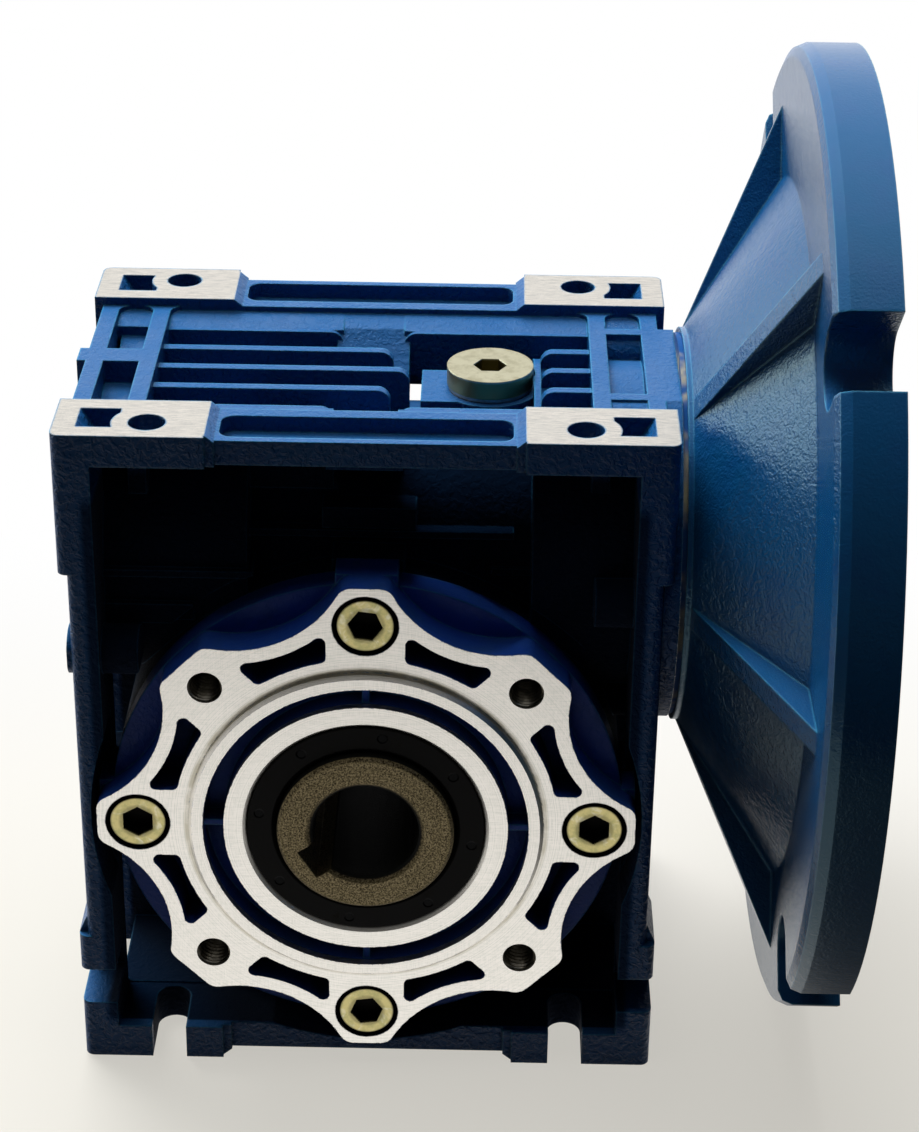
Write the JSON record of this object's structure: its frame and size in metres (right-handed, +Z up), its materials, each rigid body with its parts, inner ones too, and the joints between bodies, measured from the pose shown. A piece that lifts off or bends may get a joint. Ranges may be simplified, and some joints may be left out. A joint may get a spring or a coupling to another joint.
{
  "type": "worm gear reducer",
  "caption": "Compact right-angle worm gear reducer with a ribbed square casting, hollow output shaft behind a bolted cover, and a round motor face flange.",
  "frame": {"origin": "middle of the hollow output shaft's bore", "axes": "+Z up, +Y along the output bore away from the bolted cover, +X along the worm towards the motor flange"},
  "size_m": [0.13, 0.165, 0.1725],
  "materials": {
    "blue_casting": "satin blue paint over die-cast aluminium, machined pads bare",
    "cover_casting": "machined aluminium face, blue paint in the recesses and on the sides",
    "yellow_zinc": "yellow passivated zinc over steel",
    "bright_zinc": "pale zinc over steel",
    "seal_rubber": "matt black nitrile rubber",
    "bearing_steel": "ground bearing steel",
    "pressed_steel": "dull pressed steel",
    "hub_iron": "turned grey iron, lightly oiled",
    "wheel_bronze": "tin bronze",
    "worm_steel": "case hardened steel, ground thread",
    "gasket_paper": "oil-resistant gasket paper"
  },
  "bodies": {
    "gearbox_housing": {"housing": "blue_casting", "output_cover": "cover_casting", "output_cover_screws": "yellow_zinc", "output_cover_o_ring": "seal_rubber", "front_output_seal": "seal_rubber", "rear_output_seal": "seal_rubber", "worm_input_seal": "seal_rubber", "worm_end_cap": "seal_rubber", "worm_end_snap_ring": "pressed_steel", "worm_input_snap_ring": "pressed_steel", "flange_gasket": "gasket_paper", "input_flange": "blue_casting", "flange_screws": "yellow_zinc", "filler_plug": "bright_zinc", "plug_washer": "bright_zinc", "front_output_bearing_outer_ring": "bearing_steel", "rear_output_bearing_outer_ring": "bearing_steel", "worm_end_bearing_outer_ring": "bearing_steel", "worm_input_bearing_outer_ring": "bearing_steel"},
    "output_rotor": {"output_shaft": "hub_iron", "worm_wheel": "wheel_bronze", "front_output_bearing_inner_ring": "bearing_steel", "rear_output_bearing_inner_ring": "bearing_steel"},
    "worm_rotor": {"worm_shaft": "worm_steel", "worm_end_bearing_inner_ring": "bearing_steel", "worm_input_bearing_inner_ring": "bearing_steel"},
    "front_output_bearing_cage_set": {"front_output_bearing_balls": "bearing_steel", "front_output_bearing_cage": "pressed_steel"},
    "rear_output_bearing_cage_set": {"rear_output_bearing_balls": "bearing_steel", "rear_output_bearing_cage": "pressed_steel"},
    "worm_end_bearing_cage_set": {"worm_end_bearing_balls": "bearing_steel", "worm_end_bearing_cage": "pressed_steel"},
    "worm_input_bearing_cage_set": {"worm_input_bearing_balls": "bearing_steel", "worm_input_bearing_cage": "pressed_steel"}
  },
  "joints": [
    {"name": "output_spin", "type": "hinge", "parent": "gearbox_housing", "child": "output_rotor", "pos_m": [0, 0, 0], "axis": [0, 1, 0], "continuous": true},
    {"name": "worm_spin", "type": "hinge", "parent": "gearbox_housing", "child": "worm_rotor", "pos_m": [0, 0, 0.04], "axis": [1, 0, 0], "continuous": true},
    {"name": "front_output_bearing_cage_spin", "type": "hinge", "parent": "gearbox_housing", "child": "front_output_bearing_cage_set", "pos_m": [0, 0, 0], "axis": [0, 1, 0], "continuous": true},
    {"name": "rear_output_bearing_cage_spin", "type": "hinge", "parent": "gearbox_housing", "child": "rear_output_bearing_cage_set", "pos_m": [0, 0, 0], "axis": [0, 1, 0], "continuous": true},
    {"name": "worm_end_bearing_cage_spin", "type": "hinge", "parent": "gearbox_housing", "child": "worm_end_bearing_cage_set", "pos_m": [0, 0, 0.04], "axis": [1, 0, 0], "continuous": true},
    {"name": "worm_input_bearing_cage_spin", "type": "hinge", "parent": "gearbox_housing", "child": "worm_input_bearing_cage_set", "pos_m": [0, 0, 0.04], "axis": [1, 0, 0], "continuous": true}
  ],
  "couplings": [
    {"joint": "worm_spin", "follows": "output_spin", "ratio": -30},
    {"joint": "front_output_bearing_cage_spin", "follows": "output_spin", "ratio": 0.416},
    {"joint": "rear_output_bearing_cage_spin", "follows": "output_spin", "ratio": 0.416},
    {"joint": "worm_end_bearing_cage_spin", "follows": "output_spin", "ratio": -11.454},
    {"joint": "worm_input_bearing_cage_spin", "follows": "output_spin", "ratio": -12.357}
  ]
}
